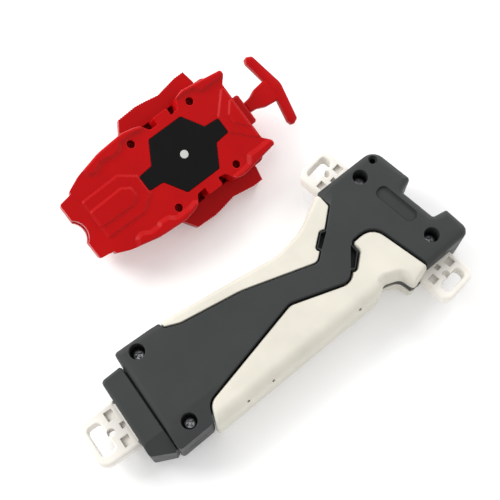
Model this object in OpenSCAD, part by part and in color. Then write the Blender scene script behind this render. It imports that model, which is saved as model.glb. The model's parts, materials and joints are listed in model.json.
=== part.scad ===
// String launcher for a spinning top, with its detachable pistol grip, lying side by side on a table.
// Millimetres. +X runs along the pull of the string and along the handle, +Z is up, the table is at z = 0.

/* [Grip body] */
// Thickness of the grip across both halves
grip_t = 30; // [26:0.5:36]
// From the middle of the handle to the line where the butt cap starts
butt_reach = 77; // [70:0.5:95]
// From the middle of the handle to the inner corner of the head
head_reach = 63; // [60:0.5:75]
// Length of the head along the handle, at its forward lug
head_len = 26; // [24:0.5:32]
// From the handle's axis to the front side of the handle
handle_front = 30; // [29:0.5:36]
// From the handle's axis to the rear side of the head
head_rear = 25.7; // [25:0.1:30]
// From the handle's axis to the front side of the head
head_front = 34; // [33.5:0.5:38]
// Gap between the grey covers and the white panels
seam_gap = 0.35; // [0.2:0.05:0.8]
// Depth of the groove along the parting line of the grip's halves
parting_groove = 0.25; // [0.1:0.05:0.4]
// How far the white panels lie below the covers' faces
panel_drop = 0.5; // [0.2:0.1:1.2]
// Rounding of the covers' outer edges
cover_round = 3; // [1.5:0.25:3.5]
// Rounding of the front panel's outer edge
panel_round = 6.5; // [3:0.5:7]
// Rounding of the narrow back panel's outer edge
back_round = 2.3; // [1:0.1:2.4]
// Rounding along the seam, as a share of the outer rounding
seam_share = 0.2; // [0.15:0.01:0.5]
// Wall thickness of the grip shells
grip_wall = 2.4; // [1.8:0.1:3.2]
// Depth of the pockets beside the neck
pocket_depth = 4.5; // [2:0.5:11]
// Depth of the long recess in the head
recess_depth = 1.2; // [0.6:0.1:2]
// Radius of the finger notch in the front panel
finger_r = 7.5; // [6:0.25:8]
// Height of the open slot between the panel halves in the finger notch
finger_slot = 5.6; // [2:0.2:7]
// Diameter of the small blind vents along the front panel's outer side
vent_d = 1.5; // [1:0.1:2]
// Depth of the small blind vents
vent_depth = 2.5; // [1.5:0.1:4]
// Diameter of the lanyard hole's mouths
lanyard_d = 4.4; // [3.6:0.1:5.5]
// Diameter of the lanyard hole through the head
lanyard_bore = 3; // [2:0.1:3.4]
// Depth of the lanyard hole's mouths
lanyard_sink = 1.6; // [0.8:0.1:3]

/* [Butt cap] */
// Length of the butt cap
cap_len = 11; // [8:0.5:16]
// Width of the groove between the cap and the covers
cap_groove = 0.5; // [0.4:0.1:1]
// How far the cap's faces lie below the covers' faces
cap_drop = 1; // [0.5:0.25:3]
// Slope of the cap's bevelled side
cap_bevel = 22; // [10:1:35]
// Depth of the cap's tenon in the covers
tenon_len = 4; // [2:0.5:6]

/* [Loop connectors] */
// Width of a connector loop
loop_w = 20; // [18:0.5:22]
// How far the loops at the head stand out
loop_len = 17; // [14:0.5:22]
// How far the loop at the butt stands out
butt_loop_len = 20.5; // [14:0.5:26]
// Thickness of a connector
loop_t = 8.5; // [6:0.25:10]
// Width of a connector's tongue
tongue_w = 8; // [5:0.5:9]
// Depth of a connector's tongue
tongue_len = 15; // [10:0.5:18]
// Clearance of a connector in its slot
loop_gap = 0.1; // [0.05:0.05:0.3]

/* [Grip screws] */
// Diameter of the screw holes in the upper cover
screw_bore = 7.4; // [6.6:0.1:8.5]
// Diameter of the screw heads
screw_head_d = 6; // [5:0.1:6.4]
// Height of the screw heads
screw_head_h = 2.2; // [1.4:0.1:3]
// Diameter of the screw shanks
screw_d = 2.8; // [2.2:0.1:3.4]
// Thickness of the floor between a screw head and the connector slots
screw_floor = 1; // [0.8:0.1:2]
// Length of the screw shank in the lower cover
screw_bite = 9; // [6:0.5:11]
// Radial clearance of the screws in their holes
screw_gap = 0.1; // [0.05:0.05:0.3]

/* [Launcher shells] */
// How far the launcher leans over onto its right wing
lean = 20; // [0:1:24]
// Where the launcher's axis lies along the row
launcher_x = 9.6; // [0:0.1:20]
// Where the launcher's axis lies across the row
launcher_y = 89.7; // [80:0.1:110]
// Height of the launcher's top face over the prong tips
top_z = 30.8; // [29:0.1:34]
// Height of the parting line between the shells
parting_z = 18.8; // [17:0.1:20]
// Height of the launcher's underside
base_z = 8.4; // [7.8:0.1:9.6]
// From the spin axis to the tail end
tail_reach = 60.6; // [56:0.1:70]
// From the spin axis to the front face
front_reach = 35.2; // [34:0.1:42]
// Half width of the body at its widest
body_half = 25.2; // [24:0.1:28]
// Half width of the narrow waist beside the plate
waist_half = 18.3; // [17.5:0.1:19]
// Half width across the wings
wing_half = 32.7; // [30:0.1:36]
// Height of the wings' upper face
wing_top = 16.3; // [14:0.1:17.5]
// Height of the raised side rails and front rims
rail_h = 1.4; // [1.2:0.1:2]
// Height of the lower step of the raised spine
spine_step = 0.7; // [0.4:0.1:1]
// Rounding of the top shell's edges
shell_round = 1.2; // [0.6:0.1:1.6]
// Depth of the serrations on the wings
serration = 0.4; // [0.2:0.05:0.7]
// Pitch of the serrations on the wings
serration_pitch = 1.3; // [1:0.1:2.4]
// Slope of the deck at the tail end
tail_slope = 14; // [4:1:18]
// Height of the socket in the tail
socket_h = 9; // [8.8:0.1:10]
// Depth of the socket in the tail
socket_len = 20; // [15:0.5:24]
// Thickness of the shells' floor and ceiling
shell_wall = 2.2; // [1.6:0.1:2.6]

/* [Centre plate] */
// Thickness of the centre plate
plate_t = 1.7; // [1.2:0.1:2.2]
// How far the plate stands proud of the top face
plate_proud = 0.3; // [0.1:0.1:0.8]
// Clearance around the plate
plate_gap = 0.15; // [0.05:0.05:0.4]
// Half length of the plate over its two tabs
plate_half = 23.5; // [20:0.1:26]
// Half width of the plate at its corners
plate_w_half = 15.2; // [12:0.1:16]

/* [Pull handle] */
// Half width of the T bar
bar_half = 20.5; // [16:0.1:24]
// Height of the T bar
bar_h = 6; // [5.5:0.1:9]
// Height of the stem
stem_h = 5; // [4.8:0.1:5.5]
// From the guide to the middle of the T bar
stem_len = 18.1; // [14:0.1:24]
// Diameter of the string
string_d = 1.2; // [0.8:0.1:1.6]
// Height of the string over the prong tips
string_z = 18.4; // [18:0.1:19]
// How far the string guide stands out of the front face
guide_len = 5.5; // [3:0.1:7]

/* [Drive] */
// Diameter of the drive shaft
shaft_d = 4; // [3:0.1:5]
// Running clearance of the shaft, radial
run_gap = 0.06; // [0.02:0.01:0.1]
// Radius of the reel's flanges
reel_r = 14.6; // [13:0.1:15]
// Radius of the reel's core
core_r = 9; // [8.5:0.1:10.5]
// Outer radius of the wound string
wound_r = 13; // [11.5:0.1:13.4]
// Height of the reel
reel_h = 6; // [5.4:0.1:6.6]
// Thickness of a reel flange
flange_t = 1.2; // [0.8:0.1:1.4]
// Number of turns in the return spring
spring_turns = 5; // [3:1:6]
// Thickness of the return spring strip
spring_t = 0.5; // [0.3:0.05:0.7]
// Outer radius of the drive hub
hub_r = 12; // [10:0.1:13]
// Outer radius of the prongs
prong_r = 9.5; // [8:0.1:9.8]
// Angle that each prong spans
prong_angle = 56; // [40:1:80]
// Number of clutch teeth
clutch_teeth = 8; // [6:1:12]
// Lift of the clutch ring over its teeth
clutch_lift = 0.9; // [0.8:0.1:1.2]
// Height of the clutch teeth
tooth_h = 0.7; // [0.4:0.05:0.8]

/* [Hidden] */

$fn = 48;
red = "#cc1a1e";
slate = "#46494a";
ivory = "#e9e8df";
black = "#151617";
steel = "#5b5e62";
natural = "#f2f1ea";
eps = 0.01;
small_r = 0.12;

// Corner outlines: each corner is [x, y, fillet radius, edge weight], counter-clockwise
function plan(c) = [c[0], c[1]];
function unit(v) = v / norm(v);
function inward(a, b) = let (d = unit(b - a)) [-d.y, d.x];
function before(c, i) = c[(i + len(c) - 1) % len(c)];
function after(c, i) = c[(i + 1) % len(c)];
function weight(q) = len(q) > 3 ? q[3] : 1;

// A corner moved inwards, each edge by the distance times its weight
function inset_corner(c, i, dist) =
    let (p = before(c, i), q = c[i], s = after(c, i))
    let (n1 = inward(plan(p), plan(q)), n2 = inward(plan(q), plan(s)))
    let (d1 = dist * weight(p), d2 = dist * weight(q), k = n1 * n2, det = 1 - k * k)
    let (a = (d1 - k * d2) / det, b = (d2 - k * d1) / det, near = min(abs(d1), abs(d2)) * sign(dist))
    let (r = cross(n1, n2) > 0 ? q[2] - near : q[2] + near)
    concat(plan(q) + a * n1 + b * n2, [max(r, small_r), weight(q)]);
function inset(c, dist) = dist == 0 ? c : [for (i = [0 : len(c) - 1]) inset_corner(c, i, dist)];

// Steps of a fillet's arc, from its radius on the plain outline
function arc_steps(c) = [for (q = c) q[2] < 1.1 ? 1 : q[2] < 5 ? 3 : 5];
function turn_to(a, b) = let (d = b - a) d > 180 ? d - 360 : d < -180 ? d + 360 : d;
function fillet(c, i, steps) =
    let (q = plan(c[i]), a = unit(plan(before(c, i)) - q), b = unit(plan(after(c, i)) - q))
    let (half = acos(max(-1, min(1, a * b))) / 2, r = max(c[i][2], small_r))
    let (o = q + unit(a + b) * r / sin(half), t = r / tan(half))
    let (v0 = q + a * t - o, v1 = q + b * t - o, a0 = atan2(v0.y, v0.x))
    let (sweep = turn_to(a0, atan2(v1.y, v1.x)))
    [for (k = [0 : steps]) o + r * [cos(a0 + sweep * k / steps), sin(a0 + sweep * k / steps)]];
function outline(c, steps) = [for (i = [0 : len(c) - 1]) each fillet(c, i, steps[i])];
function points(c) = outline(c, arc_steps(c));
function mirrored(half) = concat(
    [for (q = half) [q[0], -q[1], q[2]]],
    [for (i = [len(half) - 1 : -1 : 0]) half[i]]);

// Levels of a prism whose upper edge, or both edges, are rounded: [height, inset]
function round_up(z0, z1, r, n = 3) = concat([[z0, 0]],
    [for (k = [0 : n]) [z1 - r + r * sin(90 * k / n), r * (1 - cos(90 * k / n))]]);
function round_both(z0, z1, r, n = 2) = concat(
    [for (k = [n : -1 : 0]) [z0 + r - r * sin(90 * k / n), r * (1 - cos(90 * k / n))]],
    [for (k = [0 : n]) [z1 - r + r * sin(90 * k / n), r * (1 - cos(90 * k / n))]]);

// The same for one half of a moulding, with half a groove at its parting plane
function parted(z0, z1, r, n = 3) = concat([[z0, parting_groove], [z0 + parting_groove, 0]],
    [for (i = [1 : n + 1]) round_up(z0, z1, r, n)[i]]);

// Triangles of a flat outline, cut off ear by ear
function turn(a, b, c) = cross(b - a, c - a);
function in_ear(a, b, c, q) = turn(a, b, q) >= 0 && turn(b, c, q) >= 0 && turn(c, a, q) >= 0;
function is_ear(p, left, i) =
    let (n = len(left), a = p[left[(i + n - 1) % n]], b = p[left[i]], c = p[left[(i + 1) % n]])
    turn(a, b, c) > 0 && len([for (k = [2 : n - 2]) if (in_ear(a, b, c, p[left[(i + k) % n]])) k]) == 0;
function find_ear(p, left, i = 0) = i >= len(left) ? 0 : is_ear(p, left, i) ? i : find_ear(p, left, i + 1);
function without(list, i) = [for (k = [0 : len(list) - 1]) if (k != i) list[k]];
function ears(p, left) = len(left) == 3 ? [left] :
    let (n = len(left), i = find_ear(p, left))
    concat([[left[(i + n - 1) % n], left[i], left[(i + 1) % n]]], ears(p, without(left, i)));
function cap_faces(p) = ears(p, [for (i = [0 : len(p) - 1]) i]);

// A prism that follows an outline through its levels
module loft(c, levels) {
    steps = arc_steps(c);
    flat = [for (l = levels) outline(inset(c, l[1]), steps)];
    last = len(levels) - 1;
    n = len(flat[0]);
    rings = [for (j = [0 : last]) [for (p = flat[j]) [p.x, p.y, levels[j][0]]]];
    lid = [for (t = cap_faces(flat[last])) [t[2], t[1], t[0]] + [1, 1, 1] * n * last];
    sides = [for (j = [0 : last - 1], i = [0 : n - 1])
        let (b0 = j * n + i, b1 = j * n + (i + 1) % n) each [[b0 + n, b1 + n, b1], [b0 + n, b1, b0]]];
    polyhedron([for (r = rings) each r],
        concat(cap_faces(flat[0]), sides, lid), convexity = 8);
}
module slab(c, z0, z1) {
    translate([0, 0, z0]) linear_extrude(z1 - z0) polygon(points(c));
}
module rounded_rect(l, w, r) {
    square([l - 2 * r, w], center = true);
    square([l, w - 2 * r], center = true);
    for (x = [-1, 1], y = [-1, 1]) translate([x * (l / 2 - r), y * (w / 2 - r)]) circle(r);
}

// Grip: places that the outlines share
mid_z = grip_t / 2;
bx = -butt_reach;
hx = head_reach;
butt_lean = 4.1;
head_lean = 8;
outer_k = 1;
notch_k = 0.5;
lobe_k = 0.35;
function seam(list) = [for (q = list) [q[0], q[1], q[2], seam_share]];
function backwards(list) = [for (i = [len(list) - 1 : -1 : 0]) list[i]];
butt_low = [bx - 0.4, -handle_front + 2.7];
butt_high = [bx + 3.4, head_rear - 0.5];

// Seam between the cover and the front panel, from the butt to the head
front_seam = [
    [bx + 18.8, -handle_front + 2.8, 2.5], [bx + 22.4, -18.8, 7], [1.5, -7.2, 8], [hx - 33.4, -17, 6],
    [hx - 29.6, -13.2, 0.5], [hx - 27.7, -14.2, 0.5], [hx - 20.8, -8.3, 0.8], [hx - 21.6, -2.8, 2.5],
    [hx - 7.5, -2.6, 9]];
front_head = [hx - 0.2, -head_front, 1];
// Seam between the cover and the back panel, from the head to the butt
back_seam = [
    [hx - 16.6, 16.9, 0.8], [hx - 25.8, 9, 0.5], [hx - 28.5, 9.9, 0.5], [hx - 35.2, 4.7, 0.5],
    [hx - 34.2, 2.7, 0.5], [hx - 38.8, -1, 4], [-12, 11, 40], [bx + 35, 16.6, 12]];
back_end_low = [bx + 28, head_rear - 5.9, 0.6];
back_end_high = [bx + 27.4, head_rear - 2.2, 0.8];
back_flare = [bx + 22, head_rear - 1.6, 6];
lug = [hx - 16.8, head_rear, 1.2];
notch_low = [hx + 17.3, -17.6, 0.6];
notch_high = [hx + 14.6, 0.6, 0.6];
hole_at = [hx + 14.1, head_rear - 4.5];

cover_corners = concat(
    [concat(butt_low, [1.8, outer_k])], seam(front_seam),
    [concat(front_head, [outer_k]), [hx + head_len, -head_front, 4, outer_k],
     [hx + head_len - 1.5, -19, 1.2, outer_k], concat(notch_low, [outer_k]), concat(notch_high, [outer_k]),
     [hx + 22, 3.2, 1.5, outer_k], [hx + 18.4, head_rear, 7, outer_k], concat(lug, [seam_share])],
    seam(concat(back_seam, [back_end_low])),
    [concat(back_end_high, [outer_k]), concat(back_flare, [outer_k]), concat(butt_high, [1.8, outer_k])]);

// Front panel: outer side, finger notch, lobe beside the head, then back along the seam
notch_at = [hx - 18.5, -handle_front - 4.5];
front_corners = concat(
    [[bx + 17.6, -handle_front, 1.5, outer_k], [notch_at.x - 7, -handle_front, 7, notch_k],
     [notch_at.x - 1.5, notch_at.y + finger_r + 0.6, 3.5, notch_k],
     [notch_at.x + finger_r - 1, notch_at.y + finger_r - 2.4, 4, lobe_k],
     [notch_at.x + finger_r + 0.8, notch_at.y - 2.5, 2, lobe_k]],
    seam(concat([front_head], [for (i = [8 : -1 : 1]) front_seam[i]])));

// Back panel: its blunt end at the butt, along the seam to the head, then back along the outer side
back_waist = head_rear - 11.9;
back_rise = 35;
back_dip = 50;
back_fall = 8;
back_curve = 40;
back_corners = concat(
    seam(concat([back_end_high, back_end_low], backwards(back_seam))),
    [concat(lug, [outer_k]), [hx - back_rise, back_waist + 2.8, 0.75 * back_curve, outer_k],
     [hx - back_dip, back_waist, back_curve, outer_k], [-back_fall, back_waist + 3.4, back_curve, outer_k]]);

// A panel's own outline: drawn back from the cover by the seam's gap
function seam_only(c) = [for (q = c) [q[0], q[1], q[2], weight(q) == seam_share ? 1 : eps]];
function with_weights(c, w) = [for (i = [0 : len(c) - 1]) [c[i][0], c[i][1], c[i][2], weight(w[i])]];
front_panel_corners = with_weights(inset(seam_only(front_corners), seam_gap), front_corners);
back_panel_corners = with_weights(inset(seam_only(back_corners), seam_gap), back_corners);

screw_places = [[hx + 3.7, head_rear - 7.3], [hx + 10.2, -head_front + 9.9], [bx + 12, head_rear - 6.8],
    [bx + 10.8, -handle_front + 10.2]];
seat_z = mid_z + loop_t / 2 + loop_gap + screw_floor;
screw_hole_d = screw_d + 2 * screw_gap;

// Loop connectors: places and plan
connector_slots = [
    [[bx - cap_len + 0.2, -1], 180 - butt_lean], [[hx + 5, -head_front], head_lean - 90],
    [[hx + 5 - (head_front + head_rear) * tan(head_lean), head_rear], 90 + head_lean]];
shoulder = 3;
window_l = 5.8;
rim = 3.4;
module at_connector(i) {
    at = connector_slots[i][0];
    translate([at.x, at.y, mid_z]) rotate(connector_slots[i][1]) children();
}
function loop_reach(i) = i == 0 ? butt_loop_len : loop_len;
loop_corner = 4;
loop_round = 1.2;
function connector_corners(i) = [
    [-tongue_len, -tongue_w / 2, 0.3], [-shoulder, -tongue_w / 2, 0.3], [-shoulder, -loop_w / 2, 0.3],
    [loop_reach(i), -loop_w / 2, loop_corner], [loop_reach(i), loop_w / 2, loop_corner],
    [-shoulder, loop_w / 2, 0.3], [-shoulder, tongue_w / 2, 0.3], [-tongue_len, tongue_w / 2, 0.3]];
module connector_slot(i) {
    half = loop_t / 2 + loop_gap;
    at_connector(i) slab(inset(connector_corners(i), -loop_gap), -half, half);
}
// The window through a loop, its edges broken on both faces
module loop_window(x) {
    half = window_l / 2;
    side = loop_w / 2 - rim + 0.5;
    top = loop_t / 2;
    broken = 0.8;
    loft([[x - half, -side, 1.6], [x + half, -side, 1.6], [x + half, side, 1.6], [x - half, side, 1.6]],
        [[-top - eps, -broken], [broken - top, 0], [top - broken, 0], [top + eps, -broken]]);
}
module loop_connector(i) {
    window_x = loop_reach(i) - rim - window_l / 2;
    keyhole_x = loop_reach(i) - rim - window_l - 1;
    cell = 3.2;
    cell_depth = 3;
    color(ivory) at_connector(i) difference() {
        loft(connector_corners(i), round_both(-loop_t / 2, loop_t / 2, loop_round));
        loop_window(window_x);
        translate([keyhole_x, 0, -loop_t]) cylinder(r = 1.9, h = 2 * loop_t);
        for (face = [0, 1]) mirror([0, 0, face]) translate([0, 0, loop_t / 2 - cell_depth]) {
            for (side = [-1, 1]) translate([keyhole_x - 1.6, side * 6 - cell / 2, 0])
                cube([cell, cell, cell_depth + 1]);
            translate([keyhole_x - 5.6, -cell / 2, 0]) cube([2.2, cell, cell_depth + 1]);
        }
    }
}

// The grip's lower half mirrors its upper half
module lower_half() {
    translate([0, 0, grip_t]) mirror([0, 0, 1]) children();
}

// Grip covers
module pocket(corners) {
    translate([0, 0, grip_t - pocket_depth]) linear_extrude(pocket_depth + 1) polygon(corners);
}
front_pocket = [[hx - 29.4, -12.6], [hx - 27.7, -13.4], [hx - 21.6, -8.1], [hx - 21.9, -4]];
back_pocket = [[hx - 26, 8.2], [hx - 28.6, 9.1], [hx - 34.4, 4.6], [hx - 33.6, 2.8]];
recess_at = [hx + 7.8, -2.5];
module cover_half() {
    difference() {
        loft(cover_corners, parted(mid_z, grip_t, cover_round));
        slab(handle_void, mid_z - 1, grip_t - 3 * grip_wall);
        pocket(front_pocket);
        pocket(back_pocket);
        translate([hole_at.x, hole_at.y, 0]) {
            translate([0, 0, mid_z - 1]) cylinder(d = lanyard_bore, h = mid_z + 2);
            translate([0, 0, grip_t - lanyard_sink]) cylinder(d = lanyard_d, h = lanyard_sink + 1);
        }
        for (i = [0 : 2]) connector_slot(i);
        butt_tenon(loop_gap);
        lug_facet();
        butt_facet();
    }
}
// Sloped facet on the front corner of the butt, in line with the cap's bevel
facet_slope = 10;
facet_turn = -2.5;
facet_y = -handle_front + 16;
module butt_facet() {
    facet_len = 40;
    translate([bx - 5, facet_y, grip_t]) rotate(facet_turn) rotate([facet_slope, 0, 0])
        translate([0, -facet_len, 0]) cube([facet_len, facet_len, facet_len]);
}
// Sloped facet on the rear lug of the head
module lug_facet() {
    translate([hx - 9, head_rear - 2.6, grip_t]) rotate(133) rotate([0, 24, 0])
        translate([0, -20, 0]) cube([30, 40, 20]);
}
// Hollow in the handle between the screws, open only at the parting plane
handle_void = [[bx + 24, -12, 2], [0, -4, 2], [6, -5, 2], [2, 2, 2], [-10, 7, 2], [bx + 26, 12, 2]];

module grip_cover_upper() {
    color(slate) difference() {
        cover_half();
        for (p = screw_places) translate([p.x, p.y, 0]) {
            translate([0, 0, seat_z]) cylinder(d = screw_bore, h = grip_t);
            translate([0, 0, mid_z - 1]) cylinder(d = screw_hole_d, h = grip_t);
        }
        translate([recess_at.x, recess_at.y, grip_t - recess_depth]) rotate(head_lean - 90)
            linear_extrude(recess_depth + 1) rounded_rect(22.5, 7, 3);
    }
}
module grip_cover_lower() {
    color(slate) difference() {
        lower_half() cover_half();
        for (p = screw_places) translate([p.x, p.y, mid_z - screw_bite - 1])
            cylinder(d = screw_hole_d, h = screw_bite + 2);
    }
}
// Crossed slots that drive a screw, sunk to a height
module cross_recess(l, w, z) {
    for (a = [0, 90]) rotate(a) translate([-l / 2, -w / 2, z]) cube([l, w, 2]);
}
module grip_screws() {
    shank = seat_z - mid_z + screw_bite;
    color(steel) for (p = screw_places) translate([p.x, p.y, seat_z]) difference() {
        union() {
            cylinder(d = screw_head_d, h = screw_head_h);
            translate([0, 0, -shank]) cylinder(d = screw_d, h = shank + eps);
        }
        cross_recess(4, 0.9, screw_head_h - 1.2);
    }
}

// Grip panels
module panel_half(corners, r) {
    loft(corners, parted(mid_z, grip_t - panel_drop, r, 4));
}
// Small blind vents in the round of the front panel's outer side, square to it
vent_places = [hx - 37.7, bx + 51, bx + 36.7];
vent_tilt = 25;
module vents() {
    vent_z = grip_t - panel_drop - 0.57 * panel_round;
    for (x = vent_places) translate([x, -handle_front + 0.6, vent_z]) rotate([90 - vent_tilt, 0, 0])
        translate([0, 0, -vent_depth]) cylinder(d = vent_d, h = 2 * vent_depth, $fn = 24);
}
module front_panel_half() {
    slot_reach = 4 * finger_r;
    slot_start = 4;
    finger_web = 5.5;
    difference() {
        panel_half(front_panel_corners, panel_round);
        connector_slot(1);
        vents();
        intersection() {
            translate([notch_at.x, notch_at.y, mid_z - 1])
                cylinder(r = finger_r + finger_web, h = 1 + finger_slot / 2);
            translate([notch_at.x - slot_start, notch_at.y - slot_reach / 2, mid_z - 2])
                cube([slot_reach, slot_reach, 2 + finger_slot]);
        }
    }
}
module front_panel_upper() { color(ivory) front_panel_half(); }
module front_panel_lower() { color(ivory) lower_half() front_panel_half(); }
module back_panel_upper() { color(ivory) panel_half(back_panel_corners, back_round); }
module back_panel_lower() { color(ivory) lower_half() panel_half(back_panel_corners, back_round); }

// Butt cap
cap_low = butt_low + [-cap_groove, 0.4];
cap_shoulder = 7;
cap_taper = 6.1;
cap_high = [butt_high.x - cap_groove - 0.5, head_rear - cap_shoulder];
cap_corners = [
    [cap_low.x - cap_len, cap_low.y + cap_taper, 1.6, 1], [cap_low.x, cap_low.y, 0.9, 0.6],
    [cap_high.x, cap_high.y, 0.8, 1], [cap_high.x - cap_len, cap_high.y, 2, 1]];
module at_butt() {
    translate([(butt_low.x + butt_high.x) / 2, -4, mid_z]) rotate(-butt_lean) children();
}
module butt_tenon(gap) {
    tenon_w = 38;
    tenon_h = 20;
    tenon_root = cap_groove + 3;
    at_butt() translate([-tenon_root, -tenon_w / 2 - gap, -tenon_h / 2 - gap])
        cube([tenon_len + tenon_root + gap, tenon_w + 2 * gap, tenon_h + 2 * gap]);
}
module butt_cap() {
    color(slate) difference() {
        union() {
            loft(cap_corners, round_both(cap_drop, grip_t - cap_drop, 1.4));
            butt_tenon(0);
        }
        for (face = [0, 1]) translate([0, 0, mid_z]) mirror([0, 0, face])
            translate([0, cap_low.y + 11.4, mid_z - cap_drop]) rotate([cap_bevel, 0, 0])
                translate([-2 * butt_reach, -butt_reach, 0]) cube([2 * butt_reach, butt_reach, grip_t]);
        connector_slot(0);
    }
}
module butt_connector() { loop_connector(0); }
module front_connector() { loop_connector(1); }
module rear_connector() { loop_connector(2); }

// Launcher: its own frame has the spin axis on Z, the pull along +X and the prong tips at z = 0
rest_z = max(wing_half * sin(lean) - base_z * cos(lean), prong_r * sin(lean));
module launcher() {
    translate([launcher_x, launcher_y, rest_z]) rotate([lean, 0, 0]) children();
}
tx = -tail_reach;
fx = front_reach;
tab_rear = -1.6;
tab_front = 6.3;
tab_half = waist_half + 4;
shell_half = [
    [tx, 15.4, 0.8], [tx + 7, 16.4, 0.4], [tx + 7, 17.7, 0.4], [tx + 14.2, 20.9, 14],
    [tx + 28, body_half - 1, 30], [-18, body_half, 5], [-12.2, body_half - 1.2, 2],
    [-9, body_half - 2.4, 1.5], [tab_rear - 4.6, waist_half + 0.4, 1.2], [tab_rear, waist_half, 0.3],
    [tab_rear, tab_half, 0.6],
    [tab_front, tab_half, 0.6], [tab_front, waist_half, 0.3], [tab_front + 4.2, waist_half + 0.6, 1],
    [13.1, body_half - 1.4, 2], [17.4, body_half - 0.3, 2.5], [fx + 3.5, body_half - 3.4, 0.8],
    [fx + 3.4, body_half - 5.8, 0.8], [fx, 15.6, 1]];
shell_corners = mirrored(shell_half);

// Outline of the base: the body below the parting line
base_half = [
    [tx + 0.6, 15, 0.8], [tx + 7.4, 16.8, 0.6], [tx + 14.6, 20.3, 14], [tx + 28.4, body_half - 1.6, 30],
    [-18, body_half - 0.6, 4], [-12, waist_half + 3, 2], [13.5, waist_half + 3, 2], [25, body_half - 0.2, 3],
    [fx - 2.7, body_half - 0.4, 3.5], [fx - 0.4, 21, 3], [fx - 0.6, 15, 2], [fx - 0.4, 8.4, 0.3]];
base_corners = mirrored(base_half);

// A wing's outer edge: a shallow dip between two bulges, serrated all along
wing_tip = fx - 8.4;
wing_dip = wing_tip - 16.5;
wing_rear = -12.6;
wing_bends = [
    [wing_rear, wing_half - 0.5], [wing_rear + 10.2, wing_half], [wing_rear + 16.2, wing_half - 0.8],
    [wing_dip, wing_half - 2], [wing_dip + 6.2, wing_half - 0.9], [wing_tip - 5, wing_half],
    [wing_tip, wing_half]];
function zigzag(a, b) =
    let (n = 2 * round(norm(b - a) / serration_pitch))
    [for (k = [0 : n - 1]) a + (b - a) * k / n + [0, k % 2 == 0 ? 0 : -serration]];
wing_edge = [for (i = [0 : len(wing_bends) - 2]) each zigzag(wing_bends[i], wing_bends[i + 1])];
wing_outline = concat([[wing_rear - 5, waist_half], [wing_rear - 4.4, wing_half - 7]], wing_edge,
    [[wing_tip, wing_half], [wing_tip + 1.3, wing_half - 6.6], [wing_tip + 1, waist_half]]);

// Heights of the drive's pieces
hub_top = base_z - 0.3;
floor_z = base_z + shell_wall;
reel_z = string_z - reel_h / 2;
cup_z = string_z + reel_h / 2 + 0.4;
plate_z = top_z + plate_proud - plate_t;
ceiling_z = plate_z - shell_wall;
case_r = reel_r + 0.8;
boss_d = 6.4;
bush_d = 9;
upper_bush_d = 8;

plate_corners = [
    [-plate_half, -4, 0.5], [-9.4 - 6.5, -4.6, 0.6], [-9.4, -plate_w_half, 0.6], [9.4, -plate_w_half, 0.6],
    [9.4 + 6.5, -4.6, 0.6], [plate_half, -4, 0.5], [plate_half, 4, 0.5], [9.4 + 6.5, 4.6, 0.6],
    [9.4, plate_w_half, 0.6], [-9.4, plate_w_half, 0.6], [-9.4 - 6.5, 4.6, 0.6], [-plate_half, 4, 0.5]];

shell_screw_places = [for (x = [-17.4, 17.4], y = [-18.5, 18.5]) [x, y]];
shell_screw_d = 2.2;
shell_head_d = 3.6;
shell_bore_d = 3.9;
shell_well = 6;
shell_seat_z = top_z - shell_well;
shell_head_h = 1.6;

// Front rim and side rail of one flank, raised over the top face
rim_half = [
    [12.6, 22.9, 0.6], [22.3, 22.1, 1.2], [24.9, 18.7, 1.2], [30, 18.8, 1.5], [fx + 4, 18.4, 0.8],
    [fx + 4, body_half + 3, 0.8], [12.6, body_half + 3, 0.8]];
side_rail = [
    [-42, 18.2, 0.8], [-38.9, 17.4, 1], [-35, 19.6, 1.5], [-30.5, 19.7, 1.5], [-28.5, 18.6, 1],
    [-24.1, 19.2, 1.2], [-21.4, 21.5, 1], [-14, 21.7, 1], [-9, 20.6, 0.8], [-8, body_half + 3, 0.8],
    [-45, body_half + 3, 0.8]];
spine_low = [
    [tx + 8.7, -10.2, 0.6], [-31.5, -10.6, 1.5], [-plate_half - 0.6, -5, 0.6], [-plate_half - 0.6, 5, 0.6],
    [-31.5, 10.6, 1.5], [tx + 8.7, 10.2, 0.6]];
spine_high = [
    [tx + 8.9, -4.3, 0.6], [-34, -4.9, 2.5], [-29.8, -2.2, 1.5], [-29.8, 2.2, 1.5], [-34, 4.9, 2.5],
    [tx + 8.9, 4.3, 0.6]];
brow_low = [
    [plate_half + 0.5, -4.6, 0.6], [fx - 0.6, -15.6, 0.8], [fx - 0.6, 15.6, 0.8],
    [plate_half + 0.5, 4.6, 0.6]];
brow_high = [[28.6, -2.4, 0.6], [fx - 1, -8.8, 0.6], [fx - 1, 8.8, 0.6], [28.6, 2.4, 0.6]];
module on_both_flanks() {
    children();
    mirror([0, 1, 0]) children();
}
// The deck: flat, with raised forms whose sides slope up from it
ridge_slope = 1.5;
module raised(c, z0, z1) {
    half = ridge_slope * (z1 - z0) / 2;
    loft(c, [[top_z - 1, -half], [z0, -half], [z1, half]]);
}
module deck() {
    reach = 2 * (tail_reach + front_reach);
    step_z = top_z + spine_step;
    translate([-reach / 2, -reach / 2, 0]) cube([reach, reach, top_z]);
    on_both_flanks() {
        raised(rim_half, top_z, top_z + rail_h);
        raised(side_rail, top_z, top_z + rail_h);
    }
    for (low = [spine_low, brow_low]) raised(low, top_z, step_z);
    for (high = [spine_high, brow_high]) raised(high, step_z, top_z + rail_h);
}

// The deck slopes down at the tail, and its end is scooped out
tail_scoop_r = 8;
tail_scoop_depth = 3.2;
module tail_scoop() {
    translate([tx - tail_scoop_r + tail_scoop_depth, 0, 0])
        cylinder(r = tail_scoop_r, h = 2 * top_z, $fn = 64);
}
module tail_cut() {
    translate([tx + 8.2, 0, top_z]) rotate([0, -tail_slope, 0])
        translate([-tail_reach, -body_half, 0]) cube([tail_reach, 2 * body_half, tail_reach]);
    tail_scoop();
}

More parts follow.
